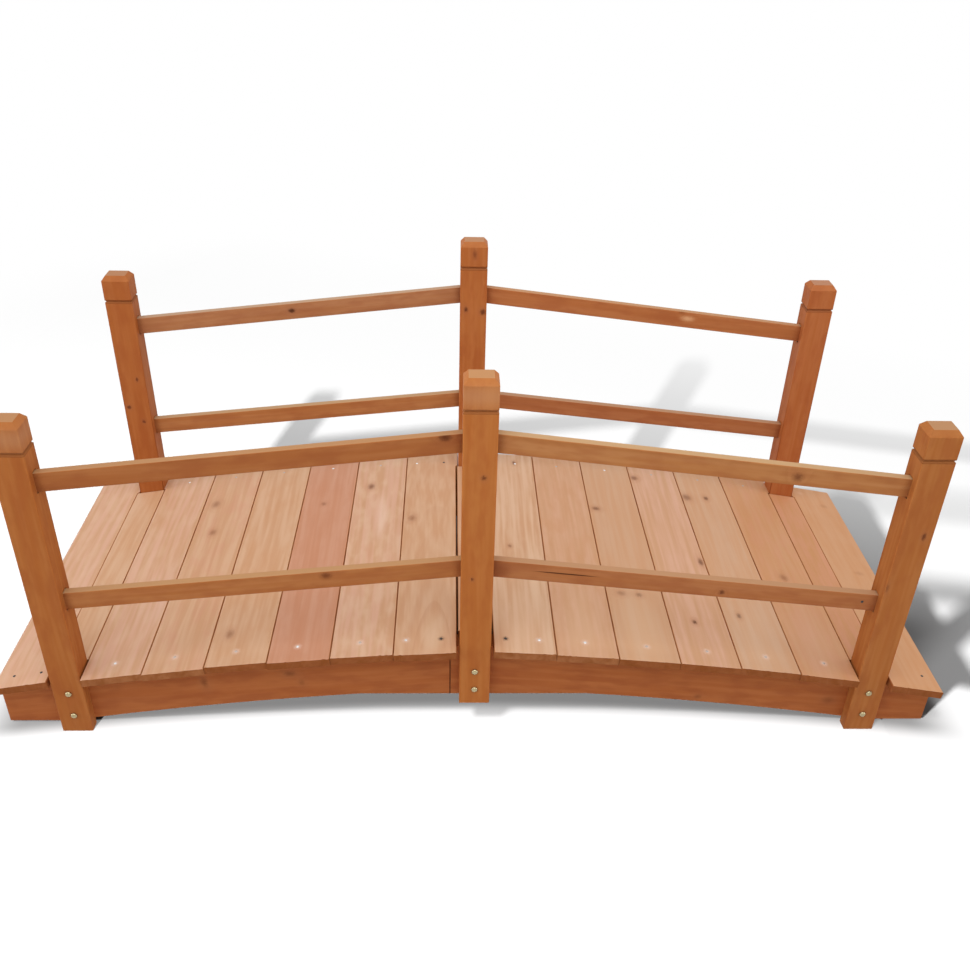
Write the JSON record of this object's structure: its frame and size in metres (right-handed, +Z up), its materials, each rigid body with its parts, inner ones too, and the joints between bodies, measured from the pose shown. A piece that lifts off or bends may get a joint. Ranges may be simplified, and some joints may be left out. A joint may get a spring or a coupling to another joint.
{
  "type": "garden moon bridge",
  "caption": "Stained wooden garden moon bridge: a plank deck on arched stringers, with sloping double rails between grooved posts.",
  "frame": {"origin": "on the ground under the middle of the bridge", "axes": "+X along the bridge towards its right end, +Y across it towards its back railing, +Z up"},
  "size_m": [1.4516, 0.584, 0.6115],
  "materials": {
    "railing_wood": "stained",
    "stringer_wood": "stained",
    "deck_wood": "stained",
    "steel": "satin"
  },
  "bodies": {
    "root": {"front_left_stringer": "stringer_wood", "front_right_stringer": "stringer_wood", "front_left_post": "railing_wood", "front_middle_post": "railing_wood", "front_right_post": "railing_wood", "front_left_top_rail": "railing_wood", "front_left_lower_rail": "railing_wood", "front_right_top_rail": "railing_wood", "front_right_lower_rail": "railing_wood", "front_joining_plate": "steel", "back_left_stringer": "stringer_wood", "back_right_stringer": "stringer_wood", "back_left_post": "railing_wood", "back_middle_post": "railing_wood", "back_right_post": "railing_wood", "back_left_top_rail": "railing_wood", "back_left_lower_rail": "railing_wood", "back_right_top_rail": "railing_wood", "back_right_lower_rail": "railing_wood", "back_joining_plate": "steel", "middle_plank": "deck_wood", "left_plank_1": "deck_wood", "left_plank_2": "deck_wood", "left_plank_3": "deck_wood", "left_plank_4": "deck_wood", "left_plank_5": "deck_wood", "left_plank_6": "deck_wood", "left_post_plank": "deck_wood", "left_end_plank": "deck_wood", "right_plank_1": "deck_wood", "right_plank_2": "deck_wood", "right_plank_3": "deck_wood", "right_plank_4": "deck_wood", "right_plank_5": "deck_wood", "right_plank_6": "deck_wood", "right_post_plank": "deck_wood", "right_end_plank": "deck_wood"}
  },
  "joints": []
}
